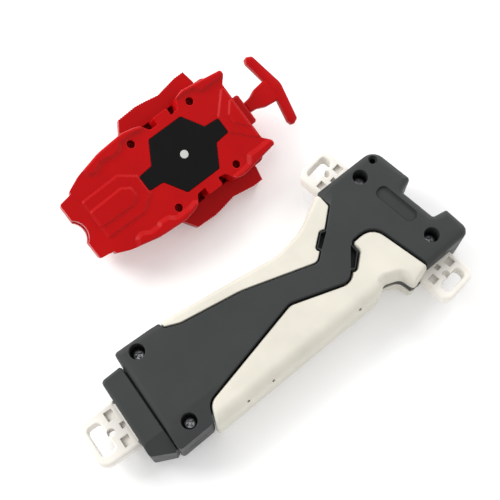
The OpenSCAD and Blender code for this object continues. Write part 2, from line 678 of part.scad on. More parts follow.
// Tail socket for a loop connector, and the channel that the string runs in
socket_gap = 0.3;
socket_z = parting_z;
module tail_socket() {
    translate([tx - 1, -loop_w / 2 - socket_gap, socket_z - socket_h / 2])
        cube([socket_len + 1, loop_w + 2 * socket_gap, socket_h]);
}
channel_d = 4;
module string_channel() {
    translate([0, 0, string_z]) rotate([0, 90, 0]) cylinder(d = channel_d, h = fx + 10);
}
guide_w = 15.2;
guide_h = 10.4;
guide_back = 3;
guide_gap = 0.1;
module guide_slot() {
    translate([fx - guide_back - guide_gap, -guide_w / 2 - guide_gap, string_z - guide_h / 2 - guide_gap])
        cube([20, guide_w + 2 * guide_gap, guide_h + 2 * guide_gap]);
}

module launcher_top_shell() {
    color(red) launcher() difference() {
        intersection() {
            loft(shell_corners, round_up(parting_z, top_z + rail_h, shell_round, 2));
            deck();
        }
        tail_cut();
        slab(inset(plate_corners, -plate_gap), plate_z, top_z + 5);
        translate([0, 0, parting_z - 1]) cylinder(r = case_r, h = ceiling_z - parting_z + 1);
        translate([0, 0, parting_z]) cylinder(d = upper_bush_d, h = top_z);
        for (p = shell_screw_places) translate([p.x, p.y, 0]) {
            translate([0, 0, shell_seat_z]) cylinder(d = shell_bore_d, h = top_z);
            cylinder(d = shell_screw_d + 2 * screw_gap, h = top_z);
        }
        tail_socket();
        string_channel();
        guide_slot();
    }
}
// Wing floor openings beside the waist tabs
module wing_slots() {
    slot_w = 6.2;
    for (x = [tab_rear - slot_w, tab_front]) translate([x, waist_half + 0.4, base_z + shell_wall])
        cube([slot_w, tab_half - waist_half, top_z]);
}
module launcher_base_shell() {
    color(red) launcher() difference() {
        union() {
            loft(base_corners, [[base_z, 0.8], [base_z + 0.8, 0], [parting_z, 0]]);
            on_both_flanks() translate([0, 0, base_z])
                linear_extrude(wing_top - base_z) polygon(wing_outline);
        }
        on_both_flanks() wing_slots();
        tail_scoop();
        translate([0, 0, floor_z]) cylinder(r = case_r, h = top_z);
        cylinder(d = bush_d, h = top_z);
        for (p = shell_screw_places) translate([p.x, p.y, base_z + 0.8 * shell_wall])
            cylinder(d = shell_screw_d + 2 * screw_gap, h = top_z);
        tail_socket();
        string_channel();
        guide_slot();
    }
}
module launcher_screws() {
    shank = shell_seat_z - floor_z;
    color(steel) launcher() for (p = shell_screw_places) translate([p.x, p.y, shell_seat_z]) difference() {
        union() {
            cylinder(d = shell_head_d, h = shell_head_h);
            translate([0, 0, -shank]) cylinder(d = shell_screw_d, h = shank + eps);
        }
        cross_recess(0.6 * shell_head_d, 0.6, shell_head_h - 0.9);
    }
}
module centre_plate() {
    color(black) launcher() difference() {
        loft(plate_corners, round_up(plate_z, plate_z + plate_t, 0.3, 2));
        translate([0, 0, plate_z - 1]) cylinder(d = shaft_d + 0.4, h = plate_t + 2);
    }
}
module string_guide() {
    guide_front = fx + guide_len;
    color(red) launcher() difference() {
        union() {
            translate([fx - guide_back, -guide_w / 2, string_z - guide_h / 2])
                cube([guide_back, guide_w, guide_h]);
            translate([fx - eps, 0, string_z]) rotate([0, 90, 0]) rotate(90)
                loft([[-8, -5.1, 1], [8, -5.1, 1], [8, 5.1, 1], [-8, 5.1, 1]],
                    round_up(0, guide_len + eps, 1.4, 3));
        }
        translate([0, 0, string_z]) rotate([0, 90, 0]) cylinder(d = string_d + 0.8, h = guide_front + 10);
        translate([fx - guide_back - 1, 0, string_z]) rotate([0, 90, 0])
            cylinder(d = channel_d, h = 1 + guide_back);
    }
}

// Pull handle: a fanned stem and a bowed bar
handle_gap = 0.3;
stem_x = fx + guide_len + handle_gap;
bar_x = stem_x + stem_len;
stem_corners = [
    [stem_x, -2.8, 0.4], [stem_x + 4.5, -3.3, 6], [bar_x - 9.4, -5.2, 4], [bar_x - 3.6, -5.9, 1.5],
    [bar_x + 1, -5.4, 0.6], [bar_x + 1, 5.4, 0.6], [bar_x - 3.6, 5.9, 1.5], [bar_x - 9.4, 5.2, 4],
    [stem_x + 4.5, 3.3, 6], [stem_x, 2.8, 0.4]];
bar_corners = [
    [bar_x - 4, -bar_half, 1], [bar_x - 0.2, -bar_half + 1.7, 1], [bar_x + 3.7, 0, 8],
    [bar_x - 0.2, bar_half - 1.7, 1], [bar_x - 4, bar_half, 1], [bar_x - 5.1, bar_half - 3.2, 1],
    [bar_x - 1.9, 0, 20], [bar_x - 5.1, -bar_half + 3.2, 1]];
knot_d = 3;
knot_len = 3;
knot_x = stem_x + 6;
module pull_handle() {
    color(red) launcher() difference() {
        union() {
            loft(bar_corners, round_both(string_z - bar_h / 2, string_z + bar_h / 2, 1.5));
            loft(stem_corners, round_both(string_z - stem_h / 2, string_z + stem_h / 2, 1));
        }
        translate([0, 0, string_z]) rotate([0, 90, 0]) cylinder(d = string_d, h = knot_x + 1);
        translate([knot_x, 0, string_z]) rotate([0, 90, 0]) cylinder(d = knot_d, h = knot_len);
    }
}
string_in = wound_r + handle_gap;
module pull_string() {
    color(natural) launcher() translate([string_in, 0, string_z]) rotate([0, 90, 0])
        cylinder(d = string_d, h = knot_x - string_in);
}
module string_knot() {
    color(natural) launcher() translate([knot_x, 0, string_z]) rotate([0, 90, 0])
        cylinder(d = knot_d, h = knot_len);
}

// Drive: bushes, cup, spring, reel, clutch, shaft and hub, all on the spin axis
module shaft_bush_upper() {
    color(natural) launcher() difference() {
        translate([0, 0, ceiling_z - 1]) union() {
            cylinder(d = upper_bush_d, h = plate_z - ceiling_z + 1);
            cylinder(d = upper_bush_d + 2.4, h = 1);
        }
        cylinder(d = shaft_d + 2 * run_gap, h = top_z);
    }
}
module shaft_bush_lower() {
    color(natural) launcher() difference() {
        translate([0, 0, base_z]) cylinder(d = bush_d, h = shell_wall);
        cylinder(d = boss_d + 2 * run_gap, h = top_z);
    }
}
cup_h = ceiling_z - cup_z;
arbor_d = 6.4;
arbor_h = cup_h - 2.4;
cup_wall = 1;
cup_r = case_r - 0.05;
module spring_cup() {
    color(natural) launcher() translate([0, 0, cup_z]) difference() {
        cylinder(r = cup_r, h = cup_h);
        translate([0, 0, cup_wall]) cylinder(r = cup_r - cup_wall, h = cup_h);
        translate([0, 0, -1]) cylinder(d = arbor_d + 1.4, h = cup_h);
    }
}
spring_h = cup_h - cup_wall - 1;
spring_in = 6.2;
spring_out = cup_r - cup_wall - spring_t - 0.1;
spring_steps = 18;
function spiral(k, side) =
    let (r = spring_in + (spring_out - spring_in) * k / (spring_turns * spring_steps) + side * spring_t)
    let (a = 360 * k / spring_steps) r * [cos(a), sin(a)];
module return_spring() {
    n = spring_turns * spring_steps;
    color(steel) launcher() translate([0, 0, cup_z + cup_wall + 0.2]) linear_extrude(spring_h)
        polygon(concat([for (k = [0 : n]) spiral(k, 1)], [for (k = [n : -1 : 0]) spiral(k, 0)]));
}
// Clutch: one ring of ramped teeth that stand on a face, driving one way and slipping the other
clutch_t = 1.2;
clutch_r = 7.4;
tooth_in = 5;
tooth_pitch = 360 / clutch_teeth;
tooth_angle = 0.46 * tooth_pitch;
mesh_gap = 0.2;
clutch_z = reel_z - mesh_gap - tooth_h - clutch_t;
module ramp_teeth() {
    ramp = atan(tooth_h / (clutch_r * sin(tooth_angle)));
    sink = 0.2;
    for (k = [0 : clutch_teeth - 1]) rotate(k * tooth_pitch) difference() {
        translate([0, 0, -sink]) rotate_extrude(angle = tooth_angle, $fn = 48)
            translate([tooth_in, 0]) square([clutch_r - tooth_in, tooth_h + sink]);
        rotate([ramp, 0, 0]) translate([-clutch_r, -clutch_r, 0]) cube(2 * clutch_r);
    }
}
module string_reel() {
    color(natural) launcher() translate([0, 0, reel_z]) difference() {
        union() {
            cylinder(r = reel_r, h = flange_t);
            cylinder(r = core_r, h = reel_h);
            translate([0, 0, reel_h - flange_t]) cylinder(r = reel_r, h = flange_t);
            translate([0, 0, reel_h - eps]) cylinder(d = arbor_d, h = cup_z - reel_z - reel_h + arbor_h);
            rotate([180, 0, 0]) ramp_teeth();
        }
        translate([0, 0, -1]) cylinder(d = shaft_d + 2 * run_gap, h = top_z);
    }
}
module string_winding() {
    color(natural) launcher() translate([0, 0, reel_z + flange_t]) difference() {
        cylinder(r = wound_r, h = reel_h - 2 * flange_t);
        translate([0, 0, -1]) cylinder(r = core_r, h = reel_h);
    }
}
// The boss has two flats over the floor, so that the ring turns with it and still slides
flats = 5;
module flatted(d, w, h) {
    intersection() {
        cylinder(d = d, h = h);
        translate([0, 0, h / 2]) cube([2 * d, w, h], center = true);
    }
}
module clutch_ring() {
    color(natural) launcher() translate([0, 0, clutch_z]) difference() {
        union() {
            cylinder(r = clutch_r, h = clutch_t);
            translate([0, 0, clutch_t]) ramp_teeth();
        }
        translate([0, 0, -1]) flatted(boss_d + 2 * run_gap, flats + 2 * run_gap, top_z);
    }
}
module clutch_spring() {
    color(steel) launcher() translate([0, 0, floor_z]) difference() {
        cylinder(r = clutch_r - 1.4, h = clutch_z - floor_z);
        translate([0, 0, -1]) cylinder(d = boss_d + 0.8, h = top_z);
    }
}
module drive_shaft() {
    shaft_low = base_z - 2;
    color(natural) launcher() translate([0, 0, shaft_low])
        cylinder(d = shaft_d, h = plate_z + plate_t - shaft_low);
}
module drive_hub() {
    hub_t = 2.6;
    color(natural) launcher() difference() {
        union() {
            translate([0, 0, hub_top - hub_t]) cylinder(r = hub_r, h = hub_t);
            cylinder(d = boss_d, h = floor_z);
            flatted(boss_d, flats, reel_z - 0.2);
            for (a = [0, 180]) rotate(a - prong_angle / 2) rotate_extrude(angle = prong_angle, $fn = 64)
                translate([prong_r - 2.4, 0]) square([2.4, hub_top - hub_t / 2]);
            for (a = [0, 180]) rotate(a + prong_angle / 2 - 4) rotate_extrude(angle = 28, $fn = 64)
                translate([prong_r - 2.4, 0]) square([2.4, 1]);
        }
        translate([0, 0, base_z - 2]) cylinder(d = shaft_d, h = top_z);
        translate([0, 0, -1]) cylinder(d = boss_d - 1.6, h = 1.8);
    }
}
module shaft_clip() {
    color(steel) launcher() translate([0, 0, cup_z + arbor_h + 0.3]) difference() {
        cylinder(d = upper_bush_d, h = 0.6);
        translate([0, 0, -1]) cylinder(d = shaft_d, h = top_z);
    }
}

grip_cover_upper();
grip_cover_lower();
front_panel_upper();
front_panel_lower();
back_panel_upper();
back_panel_lower();
butt_cap();
butt_connector();
front_connector();
rear_connector();
grip_screws();
launcher_top_shell();
launcher_base_shell();
centre_plate();
string_guide();
launcher_screws();
shaft_bush_upper();
shaft_bush_lower();
spring_cup();
return_spring();
pull_handle();
pull_string();
string_knot();
string_reel();
string_winding();
drive_shaft();
drive_hub();
shaft_clip();
clutch_ring();
clutch_spring();
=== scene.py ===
"""Looks of a string launcher and its grip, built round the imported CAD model."""

import json
import math

import bmesh
import bpy
from mathutils import Matrix, Vector


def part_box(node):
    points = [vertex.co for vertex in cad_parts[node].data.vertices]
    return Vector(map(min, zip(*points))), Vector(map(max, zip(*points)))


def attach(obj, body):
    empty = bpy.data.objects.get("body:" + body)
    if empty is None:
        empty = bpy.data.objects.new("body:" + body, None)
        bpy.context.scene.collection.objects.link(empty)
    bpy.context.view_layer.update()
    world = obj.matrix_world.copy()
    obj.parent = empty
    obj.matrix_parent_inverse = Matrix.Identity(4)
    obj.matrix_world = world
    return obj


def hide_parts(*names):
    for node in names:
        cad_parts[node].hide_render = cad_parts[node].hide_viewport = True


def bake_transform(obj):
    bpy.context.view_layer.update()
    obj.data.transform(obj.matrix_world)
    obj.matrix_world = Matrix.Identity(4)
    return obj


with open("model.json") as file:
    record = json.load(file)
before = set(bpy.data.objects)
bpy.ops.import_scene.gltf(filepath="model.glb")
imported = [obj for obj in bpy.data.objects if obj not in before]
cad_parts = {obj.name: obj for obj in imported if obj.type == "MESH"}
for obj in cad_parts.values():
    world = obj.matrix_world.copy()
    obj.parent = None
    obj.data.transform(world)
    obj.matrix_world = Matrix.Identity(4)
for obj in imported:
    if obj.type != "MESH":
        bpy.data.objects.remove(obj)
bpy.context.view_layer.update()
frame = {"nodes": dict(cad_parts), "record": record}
nodes = frame["nodes"]
record = frame["record"]
scene = bpy.context.scene
slots = {p["node"]: p["material_slot"] for p in record["subparts"]}
body_of = {n: b for b, members in record["behaviour"]["bodies"].items() for n in members}
mounts = {m["name"]: m for m in record["mounts"]}

MM = 0.001

# Welding distance in metres, and the bend from which an edge is a crease; ridged nodes have shallow slopes
WELD = 2e-6
SHARP_ANGLE = math.radians(38)
RIDGE_ANGLE = math.radians(13)
RIDGED = ("launcher_top_shell", "launcher_base_shell", "butt_cap")

# Sockets of a Mix node for colours: its two colours and its result
MIX_A = 6
MIX_B = 7
MIX_RESULT = 2


def linear(r, g, b):
    """A colour given as screen values from 0 to 255, for a shader."""
    def one(v):
        v = v / 255
        return v / 12.92 if v <= 0.04045 else ((v + 0.055) / 1.055) ** 2.4

    return (one(r), one(g), one(b), 1.0)


def scaled(colour, k):
    """A colour made darker or lighter by a factor."""
    return tuple(min(1.0, c * k) for c in colour[:3]) + (1.0,)


class Tree:
    """A material's node tree with short ways to add and join nodes."""

    def __init__(self, name):
        self.material = bpy.data.materials.new(name)
        self.material.use_nodes = True
        self.tree = self.material.node_tree
        self.tree.nodes.clear()
        self.shader = self.add("ShaderNodeBsdfPrincipled")
        output = self.add("ShaderNodeOutputMaterial")
        self.join(self.shader, "BSDF", output, "Surface")
        self.coords = self.add("ShaderNodeTexCoord")

    def add(self, kind, values=None, **settings):
        """A node with its settings and the values of its sockets."""
        node = self.tree.nodes.new(kind)
        for key, value in settings.items():
            setattr(node, key, value)
        for key, value in (values or {}).items():
            node.inputs[key].default_value = value
        return node

    def join(self, source, output, target, entry):
        self.tree.links.new(source.outputs[output], target.inputs[entry])

    def noise(self, scale, detail=2.0, rough=0.5):
        """Noise fixed to the piece."""
        node = self.add("ShaderNodeTexNoise", {"Scale": scale, "Detail": detail, "Roughness": rough})
        self.join(self.coords, "Object", node, "Vector")
        return node

    def spread(self, source, output, low, high, start=0.0, end=1.0):
        """Maps a value from one range to another."""
        node = self.add(
            "ShaderNodeMapRange",
            {"From Min": start, "From Max": end, "To Min": low, "To Max": high},
        )
        self.join(source, output, node, "Value")
        return node

    def mix(self, factor, a, b):
        """A colour between two, by a factor node; a and b are colours or mix nodes."""
        node = self.add("ShaderNodeMix", data_type="RGBA")
        self.join(factor, factor.outputs[0].name, node, 0)
        for entry, value in ((MIX_A, a), (MIX_B, b)):
            if isinstance(value, tuple):
                node.inputs[entry].default_value = value
            else:
                self.join(value, MIX_RESULT, node, entry)
        return node

    def paint(self, mix):
        """Gives the shader the colour of a mix node."""
        self.join(mix, MIX_RESULT, self.shader, "Base Color")

    def edge_mask(self, radius, start, end):
        """White along sharp edges: where the rounded normal leaves the true one."""
        soft = self.add("ShaderNodeBevel", {"Radius": radius}, samples=6)
        true = self.add("ShaderNodeNewGeometry")
        dot = self.add("ShaderNodeVectorMath", operation="DOT_PRODUCT")
        self.join(soft, "Normal", dot, 0)
        self.join(true, "Normal", dot, 1)
        return soft, self.spread(dot, "Value", 1.0, 0.0, start, end)


# Fineness of the plastics' flow marks, smears and spark texture, the texture's depth and the reach of the
# painted shade in hollows
FLOW_SCALE = 38.0
SMEAR_SCALE = 110.0
SPARK_SCALE = 2600.0
SPARK_DEPTH = 0.05 * MM
HOLLOW_SHADE_REACH = 1.6 * MM


def plastic(name, colour, rough, grain, specular, wear_and_highlight, edge):
    """Moulded plastic: fine spark texture, faint flow marks, edges painted lighter (a painted highlight,
    partly wear) and painted shade in its hollows.
    """
    t = Tree(name)
    soft, edges = t.edge_mask(edge * MM, 0.90, 0.995)
    flow = t.noise(FLOW_SCALE, 3.0, 0.6)
    tint = t.mix(t.spread(flow, 0, 0.0, 1.0, 0.3, 0.7), scaled(colour, 0.93), scaled(colour, 1.06))
    # Edges painted lighter: a painted highlight along the edges, partly wear
    edge_tone = t.mix(t.spread(edges, 0, 0.0, 0.7), tint, scaled(colour, wear_and_highlight))
    # Painted shade: darker where the surface is hemmed in, in hollows, creases, recesses and between parts
    cavity = t.add("ShaderNodeAmbientOcclusion", {"Distance": HOLLOW_SHADE_REACH}, samples=4)
    hollow_shade = t.mix(t.spread(cavity, "AO", 1.0, 0.0, 0.2, 0.8), edge_tone, scaled(colour, 0.78))
    t.paint(hollow_shade)
    smear = t.noise(SMEAR_SCALE, 4.0, 0.65)
    t.join(t.spread(smear, 0, rough - 0.06, rough + 0.07, 0.25, 0.75), 0, t.shader, "Roughness")
    spark = t.noise(SPARK_SCALE, 2.0, 0.6)
    bump = t.add("ShaderNodeBump", {"Strength": grain, "Distance": SPARK_DEPTH})
    t.join(spark, 0, bump, "Height")
    t.join(soft, "Normal", bump, "Normal")
    t.join(bump, "Normal", t.shader, "Normal")
    t.shader.inputs["Specular IOR Level"].default_value = specular
    return t.material


def steel(name, colour, rough, bright, edge):
    """Steel with duller spots and bright worn edges."""
    t = Tree(name)
    soft, edges = t.edge_mask(edge * MM, 0.6, 0.98)
    spots = t.noise(900.0, 4.0, 0.7)
    tint = t.mix(t.spread(spots, 0, 0.0, 1.0, 0.35, 0.7), scaled(colour, 0.6), scaled(colour, 1.3))
    edge_tone = t.mix(t.spread(edges, 0, 0.0, 0.8), tint, bright)
    t.paint(edge_tone)
    t.join(t.spread(spots, 0, rough - 0.1, rough + 0.15), 0, t.shader, "Roughness")
    t.join(soft, "Normal", t.shader, "Normal")
    t.shader.inputs["Metallic"].default_value = 1.0
    return t.material


# Braid: the strands' slant, their fineness and their height
STRAND_SLANT = math.radians(52)
STRAND_SCALE = 420.0
STRAND_HEIGHT = 0.12 * MM


def braid(name, colour):
    """Braided string: two crossing sets of strands along the pull."""
    t = Tree(name)
    bands = []
    for slant in (STRAND_SLANT, -STRAND_SLANT):
        turn = t.add("ShaderNodeMapping", {"Rotation": (0.0, 0.0, slant)})
        t.join(t.coords, "Object", turn, "Vector")
        wave = t.add("ShaderNodeTexWave", {"Scale": STRAND_SCALE, "Distortion": 0.4, "Detail": 1.0})
        t.join(turn, "Vector", wave, "Vector")
        bands.append(wave)
    both = t.add("ShaderNodeMath", operation="MULTIPLY")
    t.join(bands[0], "Fac", both, 0)
    t.join(bands[1], "Fac", both, 1)
    tint = t.mix(t.spread(both, 0, 0.0, 1.0), scaled(colour, 0.72), scaled(colour, 1.05))
    t.paint(tint)
    bump = t.add("ShaderNodeBump", {"Strength": 0.6, "Distance": STRAND_HEIGHT})
    t.join(both, 0, bump, "Height")
    t.join(bump, "Normal", t.shader, "Normal")
    t.shader.inputs["Roughness"].default_value = 0.8
    t.shader.inputs["Sheen Weight"].default_value = 0.3
    return t.material


# Plastics: colour, roughness, grain, specular level, how much lighter the edges are painted (a painted
# highlight, partly wear), and their width in mm
PLASTICS = {
    "cover_grey": (linear(51, 53, 53), 0.46, 0.16, 0.20, 1.40, 0.45),
    "panel_white": (linear(203, 199, 187), 0.42, 0.06, 0.35, 1.04, 0.45),
    # The loops' white is the panels' white made lighter: painted light that lifts the loops out of their
    # shade
    "loop_white_painted_light": (linear(224, 220, 212), 0.42, 0.06, 0.35, 1.04, 0.60),
    "launcher_red": (linear(168, 6, 9), 0.36, 0.03, 0.12, 1.60, 0.70),
    "plate_black": (linear(11, 11, 11), 0.42, 0.14, 0.12, 1.80, 0.45),
    "drive_white": (linear(184, 184, 180), 0.42, 0.06, 0.45, 1.03, 0.45),
    # Launcher screws: steel painted dark red, a painted reflection of the red walls of their wells
    "screw_red_reflection": (linear(190, 12, 12), 0.45, 0.10, 0.30, 1.30, 0.45),
}
STEEL = linear(205, 207, 210)
WORN_STEEL = linear(190, 192, 196)
STRING = linear(186, 181, 170)
looks = {name: plastic(name, *values) for name, values in PLASTICS.items()}
looks["screw_steel"] = steel("screw_steel", STEEL, 0.30, WORN_STEEL, 0.15)
looks["string"] = braid("string", STRING)


# Meshes
def scratch(name, work):
    """An object made of a working mesh, which is freed."""
    mesh = bpy.data.meshes.new(name)
    work.to_mesh(mesh)
    work.free()
    thing = bpy.data.objects.new(name, mesh)
    scene.collection.objects.link(thing)
    return thing


def cut_out(work, tool_work):
    """Mesh of one form with another cut out of it."""
    body = scratch("cut_body", work)
    tool = scratch("cut_tool", tool_work)
    cut = body.modifiers.new("cut", "BOOLEAN")
    cut.object = tool
    cut.operation = "DIFFERENCE"
    cut.solver = "EXACT"
    cut.use_self = True
    graph = bpy.context.evaluated_depsgraph_get()
    mesh = bpy.data.meshes.new_from_object(body.evaluated_get(graph))
    for thing in (body, tool):
        old = thing.data
        bpy.data.objects.remove(thing)
        bpy.data.meshes.remove(old)
    return mesh


def crease(work, angle):
    """Smooth faces, with a crease along each edge that bends by the angle or more."""
    for face in work.faces:
        face.smooth = True
    for e in work.edges:
        e.smooth = len(e.link_faces) == 2 and e.calc_face_angle(0.0) < angle


def join_rings(work, rings):
    """Closes a stack of rings with sides and two ends."""
    for one, two in zip(rings, rings[1:]):
        for k in range(len(one)):
            j = (k + 1) % len(one)
            work.faces.new((one[k], one[j], two[j], two[k]))
    work.faces.new(list(reversed(rings[0])))
    work.faces.new(rings[-1])


def add_box(work, low, high):
    """A box between two corners."""
    middle = [(a + b) / 2 for a, b in zip(low, high)]
    size = [b - a for a, b in zip(low, high)] + [1.0]
    bmesh.ops.create_cube(work, size=1.0, matrix=Matrix.Translation(middle) @ Matrix.Diagonal(size))


def show(name, mesh, look):
    """Puts a mesh in the place of a node, on its body: welded, with smooth rounds and crisp creases."""
    work = bmesh.new()
    work.from_mesh(mesh)
    bmesh.ops.remove_doubles(work, verts=work.verts, dist=WELD)
    crease(work, RIDGE_ANGLE if name in RIDGED else SHARP_ANGLE)
    work.to_mesh(mesh)
    work.free()
    # Normals that came with the mesh are cleared, so that the creases count
    if mesh.has_custom_normals:
        mesh.normals_split_custom_set([(0.0, 0.0, 0.0)] * len(mesh.loops))
    mesh.name = name + "_soft"
    piece = bpy.data.objects.new(name + "_piece", mesh)
    scene.collection.objects.link(piece)
    mesh.materials.clear()
    mesh.materials.append(looks[look])
    even = piece.modifiers.new("even", "WEIGHTED_NORMAL")
    even.keep_sharp = True
    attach(piece, body_of[name])
    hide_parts(name)


# Loops of the connectors, in mm from the grip's face. Plate, window, middle cell and root have a near end, a
# far end and a half width, the side cell has an inner and an outer side, and the keyhole is its axis
SHORT_LOOP = {
    "plate": (-2.9, 16.95, 10.0), "corner": 4.5, "window": (8.4, 14.0, 6.3), "keyhole": 7.0,
    "side_cell": (2.4, 6.2, 3.9, 7.8), "middle_cell": (0.9, 3.2, 1.3)}
LONG_LOOP = {
    "plate": (-0.5, 20.4, 12.0), "corner": 5.8, "window": (9.8, 16.7, 7.3), "keyhole": 7.9,
    "side_cell": (2.2, 6.2, 4.5, 9.2), "middle_cell": (0.5, 2.8, 1.4), "root": (-2.9, 0.2, 9.9)}

# Each node's loop, the mount at its outer end and that mount's distance from the grip's face
LOOPS = {
    "butt_connector": (LONG_LOOP, "butt_loop", 20.5),
    "front_connector": (SHORT_LOOP, "front_loop", 17.0),
    "rear_connector": (SHORT_LOOP, "rear_loop", 17.0),
}

# What all loops share, in mm: half thicknesses, radii of corners and edges, and depths
LOOP_HALF = 4.25
LOOP_EDGE = 1.5
ROOT_HALF = 4.2
ROOT_CORNER = 0.4
WINDOW_CORNER = 2.0
WINDOW_EDGE = 0.9
KEYHOLE_RADIUS = 1.9
KEYHOLE_SIDES = 28
CELL_DEPTH = 1.8
CUT_PAST = 1.0
LEAST_RADIUS = 0.05
CORNER_STEPS = 8
EDGE_STEPS = (0, 22.5, 45, 67.5, 90)


def rect_ring(work, near, far, half, near_r, far_r, z):
    """A ring round a rectangle with rounded corners."""
    corners = (
        (far - far_r, half - far_r, far_r, 0),
        (near + near_r, half - near_r, near_r, 90),
        (near + near_r, near_r - half, near_r, 180),
        (far - far_r, far_r - half, far_r, 270),
    )
    ring = []
    for x, y, r, start in corners:
        for k in range(CORNER_STEPS + 1):
            turn = math.radians(start + 90 * k / CORNER_STEPS)
            ring.append(work.verts.new((x + r * math.cos(turn), y + r * math.sin(turn), z)))
    return ring


def add_slab(work, box, near_r, far_r, edge, side):
    """A plate with rounded edges (side 1), or the cutter of a hole with rounded edges (side -1)."""
    near, far, half = box
    profile = []
    for degrees in EDGE_STEPS:
        turn = math.radians(degrees)
        profile.append((side * edge * (1 - math.cos(turn)), LOOP_HALF - edge + edge * math.sin(turn)))
    if side < 0:
        profile.append((profile[-1][0], LOOP_HALF + CUT_PAST))
    profile = [(inset, -z) for inset, z in reversed(profile)] + profile
    rings = []
    for inset, z in profile:
        radii = [max(r - inset, LEAST_RADIUS) for r in (near_r, far_r)]
        rings.append(rect_ring(work, near + inset, far - inset, half - inset, *radii, z))
    join_rings(work, rings)


def make_loop(name):
    """A connector's loop: a thick plate with a window, a keyhole into it and sunk cells on both faces."""
    loop, mount_name, reach = LOOPS[name]
    work = bmesh.new()
    add_slab(work, loop["plate"], ROOT_CORNER, loop["corner"], LOOP_EDGE, 1)
    if "root" in loop:
        near, far, half = loop["root"]
        add_box(work, (near, -half, -ROOT_HALF), (far, half, ROOT_HALF))
    tool = bmesh.new()
    add_slab(tool, loop["window"], WINDOW_CORNER, WINDOW_CORNER, WINDOW_EDGE, -1)
    bmesh.ops.create_cone(
        tool, cap_ends=True, segments=KEYHOLE_SIDES, radius1=KEYHOLE_RADIUS, radius2=KEYHOLE_RADIUS,
        depth=4 * LOOP_HALF, matrix=Matrix.Translation((loop["keyhole"], 0.0, 0.0)))
    near, far, inner, outer = loop["side_cell"]
    start, end, half = loop["middle_cell"]
    for face in (-1, 1):
        low, high = sorted((face * (LOOP_HALF - CELL_DEPTH), face * (LOOP_HALF + CUT_PAST)))
        add_box(tool, (near, inner, low), (far, outer, high))
        add_box(tool, (near, -outer, low), (far, -inner, high))
        add_box(tool, (start, -half, low), (end, half, high))
    mesh = cut_out(work, tool)
    mount = mounts[mount_name]
    outward = Vector(mount["axis"])
    origin = Vector(mount["pos_m"]) - reach * MM * outward
    turn = math.atan2(outward.y, outward.x)
    mesh.transform(Matrix.Translation(origin) @ Matrix.Rotation(turn, 4, "Z") @ Matrix.Scale(MM, 4))
    # The loops take the lighter white, painted light against their shade
    show(name, mesh, "loop_white_painted_light")


# Rings of the string's tube, and the points on each
STRING_RINGS = 240
STRING_SIDES = 12


def make_string():
    """Braided string: a fine tube of many rings, between the reel and the handle."""
    low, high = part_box("pull_string")
    radius = (high[1] - low[1]) / 2
    middle = [(a + b) / 2 for a, b in zip(low, high)]
    work = bmesh.new()
    rings = []
    for i in range(STRING_RINGS + 1):
        x = low[0] + (high[0] - low[0]) * i / STRING_RINGS
        ring = []
        for k in range(STRING_SIDES):
            turn = 2 * math.pi * (k + 0.5 * (i % 2)) / STRING_SIDES
            y = middle[1] + radius * math.cos(turn)
            z = middle[2] + radius * math.sin(turn)
            ring.append(work.verts.new((x, y, z)))
        rings.append(ring)
    join_rings(work, rings)
    bmesh.ops.recalc_face_normals(work, faces=work.faces)
    mesh = bpy.data.meshes.new("string")
    work.to_mesh(mesh)
    work.free()
    mesh.shade_smooth()
    mesh.materials.append(looks["string"])
    piece = bpy.data.objects.new("string_piece", mesh)
    scene.collection.objects.link(piece)
    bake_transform(piece)
    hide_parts("pull_string")


# Grip's thickness, and the two grey pieces that only the scene has, in mm and degrees: the dark sheet of
# painted shade in the finger notch's slot is an arc with a narrow rim, and the cap's rim follows the floor of
# the groove below the grip's middle
GRIP_THICK = 30.0
SLOT_SHADE_MIDDLE = (44.5, -34.5, GRIP_THICK / 2)
SLOT_SHADE_INNER = 7.8
SLOT_SHADE_OUTER = 12.95
SLOT_SHADE_HALF = 2.75
SLOT_SHADE_RIM = 0.25
SLOT_SHADE_START = -8
SLOT_SHADE_SWEEP = 126
SLOT_SHADE_STEPS = 24
CAP_RIM_HALF = 0.18
CAP_RIM_LINE = ((-77.6, -25.6, 6.6), (-76.85, -15.5, 3.0), (-74.45, 17.4, 3.0))


def add_to_grip(name, work):
    """A grey piece of the scene's own, on the grip."""
    bmesh.ops.recalc_face_normals(work, faces=work.faces)
    piece = scratch(name, work)
    piece.data.materials.append(looks["cover_grey"])
    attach(piece, "grip")


def make_slot_shade():
    """Dark grey sheet in the slot between the front panel's halves at the finger notch, as painted shade
    inside the slot.
    """
    middle = Vector(SLOT_SHADE_MIDDLE) * MM
    inner, outer, half, rim = (v * MM for v in (SLOT_SHADE_INNER, SLOT_SHADE_OUTER, SLOT_SHADE_HALF, SLOT_SHADE_RIM))
    section = (
        (inner + rim, -half), (outer, -half), (outer, half),
        (inner + rim, half), (inner, half - rim), (inner, rim - half),
    )
    work = bmesh.new()
    rings = []
    for i in range(SLOT_SHADE_STEPS + 1):
        turn = math.radians(SLOT_SHADE_START + SLOT_SHADE_SWEEP * i / SLOT_SHADE_STEPS)
        way = Vector((math.cos(turn), math.sin(turn), 0.0))
        rings.append([work.verts.new(middle + r * way + Vector((0.0, 0.0, z))) for r, z in section])
    join_rings(work, rings)
    add_to_grip("finger_slot_shade", work)


def make_cap_rim():
    """Rim of the butt cap, at the bottom of the groove between the cap and the covers."""
    work = bmesh.new()
    sides = []
    for shift in (-CAP_RIM_HALF * MM, CAP_RIM_HALF * MM):
        low = [Vector((x * MM + shift, y * MM, z * MM)) for x, y, z in CAP_RIM_LINE]
        high = [Vector((x * MM + shift, y * MM, (GRIP_THICK - z) * MM)) for x, y, z in reversed(CAP_RIM_LINE)]
        sides.append([work.verts.new(p) for p in low + high])
    join_rings(work, sides)
    add_to_grip("cap_rim", work)


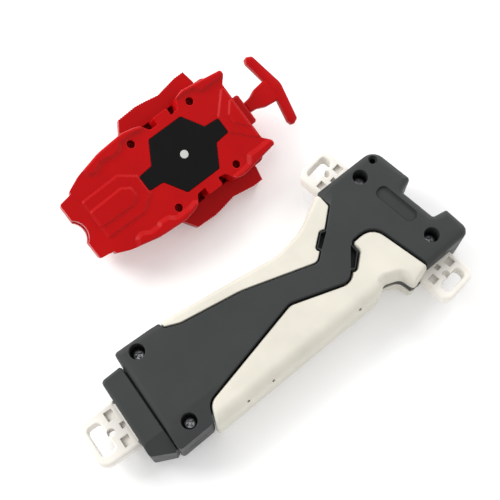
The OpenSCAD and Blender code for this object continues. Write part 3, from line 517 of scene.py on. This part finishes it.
# Screws: radius and height of the head and radius of the shank in mm, and the way that their heads face
GRIP_SCREW = (3.0, 2.2, 1.4)
LAUNCHER_SCREW = (1.8, 1.6, 1.1)
UP = (0.0, 0.0, 1.0)
LEAN = math.radians(20)
LAUNCHER_UP = (0.0, -math.sin(LEAN), math.cos(LEAN))

# A screw's proportions: the shank's tip and ridges by its radius, the dome and the cross by the head's size
SCREW_SIDES = 40
RIDGES = 10
TIP_SHARE = 0.3
ROOT_SHARE = 0.86
DOME_FLAT = 0.55
DOME_ROUND = 0.45
CROSS_LENGTH = 1.3
CROSS_WIDTH = 0.34
CROSS_FLOOR = 0.4
CROSS_TAPER = 0.45
CROSS_PAST = 0.1 * MM


def islands(work):
    """Groups of joined vertices, in the order of their first ones."""
    seen = set()
    for first in work.verts:
        if first.index in seen:
            continue
        seen.add(first.index)
        group = [first]
        for vert in group:
            for e in vert.link_edges:
                other = e.other_vert(vert)
                if other.index not in seen:
                    seen.add(other.index)
                    group.append(other)
        yield [v.co.copy() for v in group]


def add_cross(work, length, width, top, bottom):
    """Two crossed wedges, wide at the top and narrow at the bottom."""
    for turn in (0.0, math.pi / 2):
        rings = []
        for z, k in ((bottom, CROSS_TAPER), (top, 1.0)):
            ring = []
            for x, y in ((-1, -1), (1, -1), (1, 1), (-1, 1)):
                along = 0.5 * x * length * k
                across = 0.5 * y * width * k
                px = along * math.cos(turn) - across * math.sin(turn)
                py = along * math.sin(turn) + across * math.cos(turn)
                ring.append(work.verts.new((px, py, z)))
            rings.append(ring)
        join_rings(work, rings)


def add_turned(work, profile, sides):
    """A turned form with flat ends, from a profile of radii and heights."""
    turns = [2 * math.pi * k / sides for k in range(sides)]
    rings = []
    for r, z in profile:
        rings.append([work.verts.new((r * math.cos(a), r * math.sin(a), z)) for a in turns])
    join_rings(work, rings)


def screw_mesh(head_r, head_h, shank_r, shank_len):
    """One screw on its seat: pan head with a sunk cross, and a ridged shank."""
    work = bmesh.new()
    profile = [(TIP_SHARE * shank_r, -shank_len)]
    for i in range(2 * RIDGES):
        r = shank_r if i % 2 else ROOT_SHARE * shank_r
        profile.append((r, -shank_len * (1.0 - (i + 1.0) / (2 * RIDGES + 1))))
    profile += [(shank_r, 0.0), (0.96 * head_r, 0.0), (head_r, 0.06 * head_h)]
    for degrees in range(0, 81, 16):
        turn = math.radians(degrees)
        r = head_r * (DOME_FLAT + DOME_ROUND * math.cos(turn))
        profile.append((r, head_h * (0.5 + 0.5 * math.sin(turn))))
    add_turned(work, profile, SCREW_SIDES)
    tool = bmesh.new()
    top = head_h + CROSS_PAST
    add_cross(tool, CROSS_LENGTH * head_r, CROSS_WIDTH * head_r, top, CROSS_FLOOR * head_h)
    return cut_out(work, tool)


def make_screws(name, look, axis, size):
    """Screws of a node, each on the axis and seat of its plain solid."""
    head_r, head_h, shank_r = (v * MM for v in size)
    source = bmesh.new()
    source.from_mesh(nodes[name].data)
    bmesh.ops.remove_doubles(source, verts=source.verts, dist=WELD)
    source.verts.index_update()
    along = Vector(axis)
    upright = along.to_track_quat("Z", "Y").to_matrix().to_4x4()
    work = bmesh.new()
    for points in islands(source):
        heights = [p.dot(along) for p in points]
        seat = max(heights) - head_h
        middle = sum((p - p.dot(along) * along for p in points), Vector()) / len(points)
        mesh = screw_mesh(head_r, head_h, shank_r, seat - min(heights))
        mesh.transform(Matrix.Translation(middle + seat * along) @ upright)
        work.from_mesh(mesh)
        bpy.data.meshes.remove(mesh)
    source.free()
    crease(work, SHARP_ANGLE)
    piece = scratch(name + "_piece", work)
    piece.data.materials.append(looks[look])
    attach(piece, body_of[name])
    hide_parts(name)


# Nodes that the scene gives a form of its own; the others show the CAD's form
OWN_FORMS = ("pull_string", "grip_screws", "launcher_screws") + tuple(LOOPS)
for name in sorted(nodes):
    if name not in OWN_FORMS:
        show(name, nodes[name].data.copy(), slots[name])
for name in LOOPS:
    make_loop(name)
make_string()
# Dark sheet as painted shade in the finger notch's slot
make_slot_shade()
make_cap_rim()
make_screws("grip_screws", "screw_steel", UP, GRIP_SCREW)
# Launcher screws painted red: a painted reflection of the red walls round them
make_screws("launcher_screws", "screw_red_reflection", LAUNCHER_UP, LAUNCHER_SCREW)

# Floor: its size in metres, its two tints and its own light
FLOOR_SIZE = 6.0
FLOOR_DARK = (0.84, 0.84, 0.84, 1.0)
FLOOR_LIGHT = (0.87, 0.87, 0.865, 1.0)
FLOOR_GLOW = 0.14

# Sky: strength of its ring and zenith, the heights where one ends and the other starts, and its brighter side
WHITE = (1.0, 1.0, 1.0, 1.0)
SKY_RING = 1.45
SKY_TOP = 0.66
RING_END = 0.50
TOP_START = 0.88
SIDE_WAY = (0.50, 0.87)
SIDE_SHARE = 0.34

# Lamps: place and size in metres, and power in watts
LAMPS = {
    "key": ((-0.55, 0.75, 0.75), 0.6, 8.0),
    "fill": ((0.85, 0.35, 0.70), 0.4, 2.4),
}
LAMP_TARGET = (0.0, 0.02, 0.0)

# Camera at the photograph's angle: lens and sensor in mm, place and target in metres
LENS = 72.0
SENSOR = 36.0
CAMERA_PLACE = (-0.0863, -0.0858, 0.4659)
CAMERA_TARGET = (0.0100, 0.0310, 0.0)


def make_floor():
    """A plain pale floor."""
    bpy.ops.mesh.primitive_plane_add(size=FLOOR_SIZE, location=(0.0, 0.0, 0.0))
    floor = bpy.context.object
    floor.name = "floor"
    t = Tree("floor")
    wash = t.noise(3.0, 2.0)
    t.paint(t.mix(t.spread(wash, 0, 0.0, 1.0), FLOOR_DARK, FLOOR_LIGHT))
    t.shader.inputs["Roughness"].default_value = 0.9
    t.shader.inputs["Specular IOR Level"].default_value = 0.1
    t.shader.inputs["Emission Color"].default_value = WHITE
    t.shader.inputs["Emission Strength"].default_value = FLOOR_GLOW
    floor.data.materials.append(t.material)


def aim(thing, place, target):
    """Puts a lamp or a camera in its place and turns it to its target."""
    scene.collection.objects.link(thing)
    thing.location = place
    thing.rotation_mode = "QUATERNION"
    thing.rotation_quaternion = (Vector(target) - Vector(place)).to_track_quat("-Z", "Y")


def make_sky():
    """A bright ring of sky with a dim zenith, so that flat faces show their own colour."""
    world = bpy.data.worlds.new("studio")
    scene.world = world
    world.use_nodes = True
    tree = world.node_tree
    coords = tree.nodes.new("ShaderNodeTexCoord")
    split = tree.nodes.new("ShaderNodeSeparateXYZ")
    tree.links.new(coords.outputs["Generated"], split.inputs[0])
    ramp = tree.nodes.new("ShaderNodeMapRange")
    ramp.interpolation_type = "SMOOTHSTEP"
    ramp.inputs["From Min"].default_value = RING_END
    ramp.inputs["From Max"].default_value = TOP_START
    ramp.inputs["To Min"].default_value = SKY_RING
    ramp.inputs["To Max"].default_value = SKY_TOP
    tree.links.new(split.outputs["Z"], ramp.inputs["Value"])
    side = tree.nodes.new("ShaderNodeVectorMath")
    side.operation = "DOT_PRODUCT"
    side.inputs[1].default_value = (SIDE_WAY[0] * SIDE_SHARE, SIDE_WAY[1] * SIDE_SHARE, 0.0)
    tree.links.new(coords.outputs["Generated"], side.inputs[0])
    both = tree.nodes.new("ShaderNodeMath")
    both.operation = "MULTIPLY_ADD"
    tree.links.new(side.outputs["Value"], both.inputs[0])
    tree.links.new(ramp.outputs[0], both.inputs[1])
    tree.links.new(ramp.outputs[0], both.inputs[2])
    back = tree.nodes["Background"]
    back.inputs["Color"].default_value = WHITE
    tree.links.new(both.outputs[0], back.inputs["Strength"])


def make_lamps():
    """A soft key and a weaker fill."""
    for name, (place, size, power) in LAMPS.items():
        data = bpy.data.lights.new(name, "AREA")
        data.shape = "DISK"
        data.size = size
        data.energy = power
        aim(bpy.data.objects.new(name, data), place, LAMP_TARGET)


def make_camera():
    """The camera of the main picture."""
    data = bpy.data.cameras.new("camera")
    data.lens = LENS
    data.sensor_width = SENSOR
    data.clip_start = 0.01
    camera = bpy.data.objects.new("camera", data)
    aim(camera, CAMERA_PLACE, CAMERA_TARGET)
    scene.camera = camera


make_floor()
make_sky()
make_lamps()
make_camera()
scene.view_settings.view_transform = "Standard"
